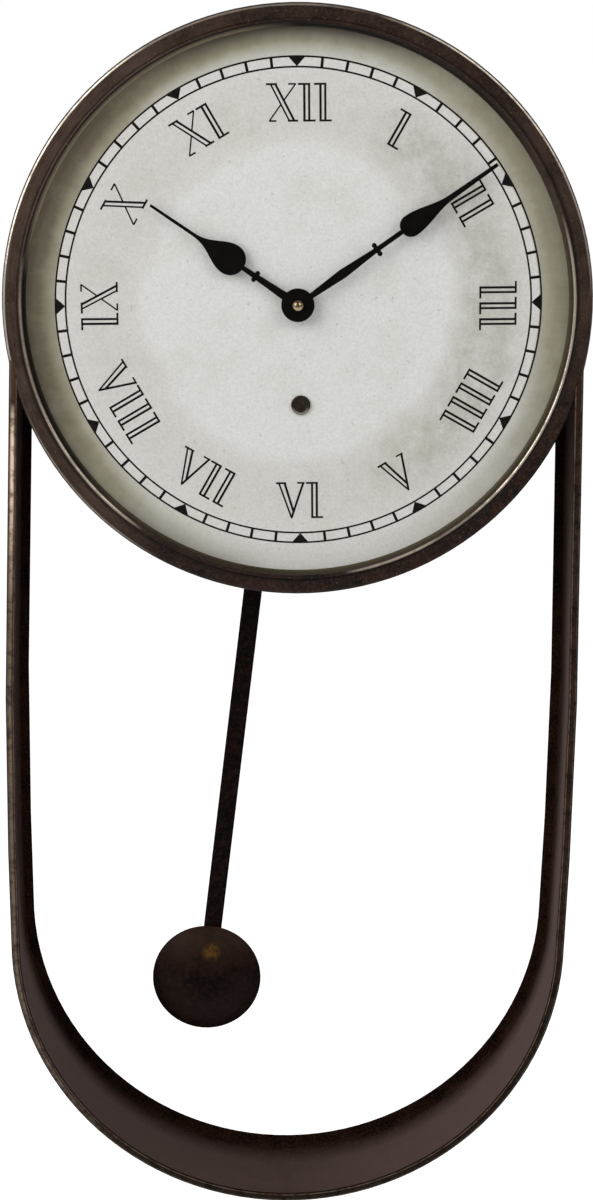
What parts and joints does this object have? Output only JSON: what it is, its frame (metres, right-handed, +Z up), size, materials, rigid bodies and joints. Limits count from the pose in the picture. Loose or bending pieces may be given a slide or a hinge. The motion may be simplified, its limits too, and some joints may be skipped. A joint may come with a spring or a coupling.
{
  "type": "pendulum wall clock",
  "caption": "Wall clock with a round deep case, Roman dial and spade hands, a U-shaped sheet band hung below and a swinging pendulum with a domed bob.",
  "frame": {"origin": "centre of the keyhole's round entry, on the rear face of the hanger strap", "axes": "+Z up, +Y into the wall, so the dial faces -Y; +X to the right of a person who looks at the dial"},
  "size_m": [0.356, 0.0915, 0.7609],
  "materials": {
    "bronze": "oil-rubbed bronze paint on steel sheet, satin, worn on the edges",
    "dial": "aged printed paper on fibreboard, matt",
    "hands": "black paint on aluminium sheet",
    "brass": "turned, bright",
    "zinc_steel": "zinc plated",
    "black_plastic": "moulded, satin",
    "white_plastic": "acetal, satin",
    "rubber": "matt",
    "copper": "enamelled copper wire, glossy",
    "cell": "plain sleeve, satin",
    "circuit": "solder resist, satin"
  },
  "bodies": {
    "case": {"case_drum": "bronze", "bezel": "bronze", "band": "bronze", "hanger_strap": "zinc_steel", "dial_board": "dial", "dial_clips": "zinc_steel", "winding_eyelet": "bronze", "movement_plate": "black_plastic", "movement_housing": "black_plastic", "middle_plate": "white_plastic", "threaded_bushing": "brass", "dial_nut": "brass", "dial_washer": "brass", "rubber_washer": "rubber", "motor_coil": "copper", "motor_core": "zinc_steel", "stator": "zinc_steel", "battery_cell": "cell", "contact_plus": "zinc_steel", "contact_minus": "zinc_steel", "circuit_board": "circuit", "quartz_crystal": "zinc_steel", "chip_cover": "black_plastic", "drive_coil": "copper", "pivot_pin": "zinc_steel"},
    "minute": {"minute_arbor": "brass", "minute_hand": "hands", "cap_nut": "brass"},
    "hour": {"hour_wheel": "white_plastic", "hour_hand": "hands"},
    "reverse": {"reverse_wheel": "white_plastic"},
    "setting": {"setting_wheel": "white_plastic", "setting_knob": "black_plastic"},
    "rotor": {"rotor": "zinc_steel"},
    "second": {"second_wheel": "white_plastic"},
    "third": {"third_wheel": "white_plastic"},
    "centre": {"centre_wheel": "white_plastic"},
    "pendulum": {"pendulum_leader": "zinc_steel", "leader_magnet": "zinc_steel", "pendulum_rod": "bronze", "pendulum_bob": "bronze", "bob_back": "bronze", "bob_clip": "zinc_steel", "bob_screw": "zinc_steel"}
  },
  "joints": [
    {"name": "minute_turn", "type": "hinge", "parent": "case", "child": "minute", "pos_m": [0, -0.0858, -0.125], "axis": [0, 1, 0], "continuous": true},
    {"name": "hour_turn", "type": "hinge", "parent": "case", "child": "hour", "pos_m": [0, -0.0828, -0.125], "axis": [0, 1, 0], "continuous": true},
    {"name": "reverse_turn", "type": "hinge", "parent": "case", "child": "reverse", "pos_m": [0.00866, -0.0698, -0.13], "axis": [0, 1, 0], "continuous": true},
    {"name": "setting_turn", "type": "hinge", "parent": "case", "child": "setting", "pos_m": [0.02097, -0.0698, -0.13217], "axis": [0, 1, 0], "continuous": true},
    {"name": "rotor_turn", "type": "hinge", "parent": "case", "child": "rotor", "pos_m": [0.00792, -0.0608, -0.10681], "axis": [0, 1, 0], "continuous": true},
    {"name": "second_turn", "type": "hinge", "parent": "case", "child": "second", "pos_m": [-0.00288, -0.0598, -0.10681], "axis": [0, 1, 0], "continuous": true},
    {"name": "third_turn", "type": "hinge", "parent": "case", "child": "third", "pos_m": [-0.00848, -0.0628, -0.11651], "axis": [0, 1, 0], "continuous": true},
    {"name": "centre_turn", "type": "hinge", "parent": "case", "child": "centre", "pos_m": [0, -0.0648, -0.125], "axis": [0, 1, 0], "continuous": true},
    {"name": "pendulum_swing", "type": "hinge", "parent": "case", "child": "pendulum", "pos_m": [0, -0.0518, -0.07], "axis": [0, 1, 0], "range_deg": [-13, 1]}
  ],
  "couplings": [
    {"joint": "hour_turn", "follows": "minute_turn", "ratio": 0.083333},
    {"joint": "reverse_turn", "follows": "minute_turn", "ratio": -0.33333},
    {"joint": "setting_turn", "follows": "minute_turn", "ratio": 0.5},
    {"joint": "second_turn", "follows": "rotor_turn", "ratio": -0.2},
    {"joint": "third_turn", "follows": "rotor_turn", "ratio": 0.033333},
    {"joint": "centre_turn", "follows": "rotor_turn", "ratio": -0.0066667}
  ]
}
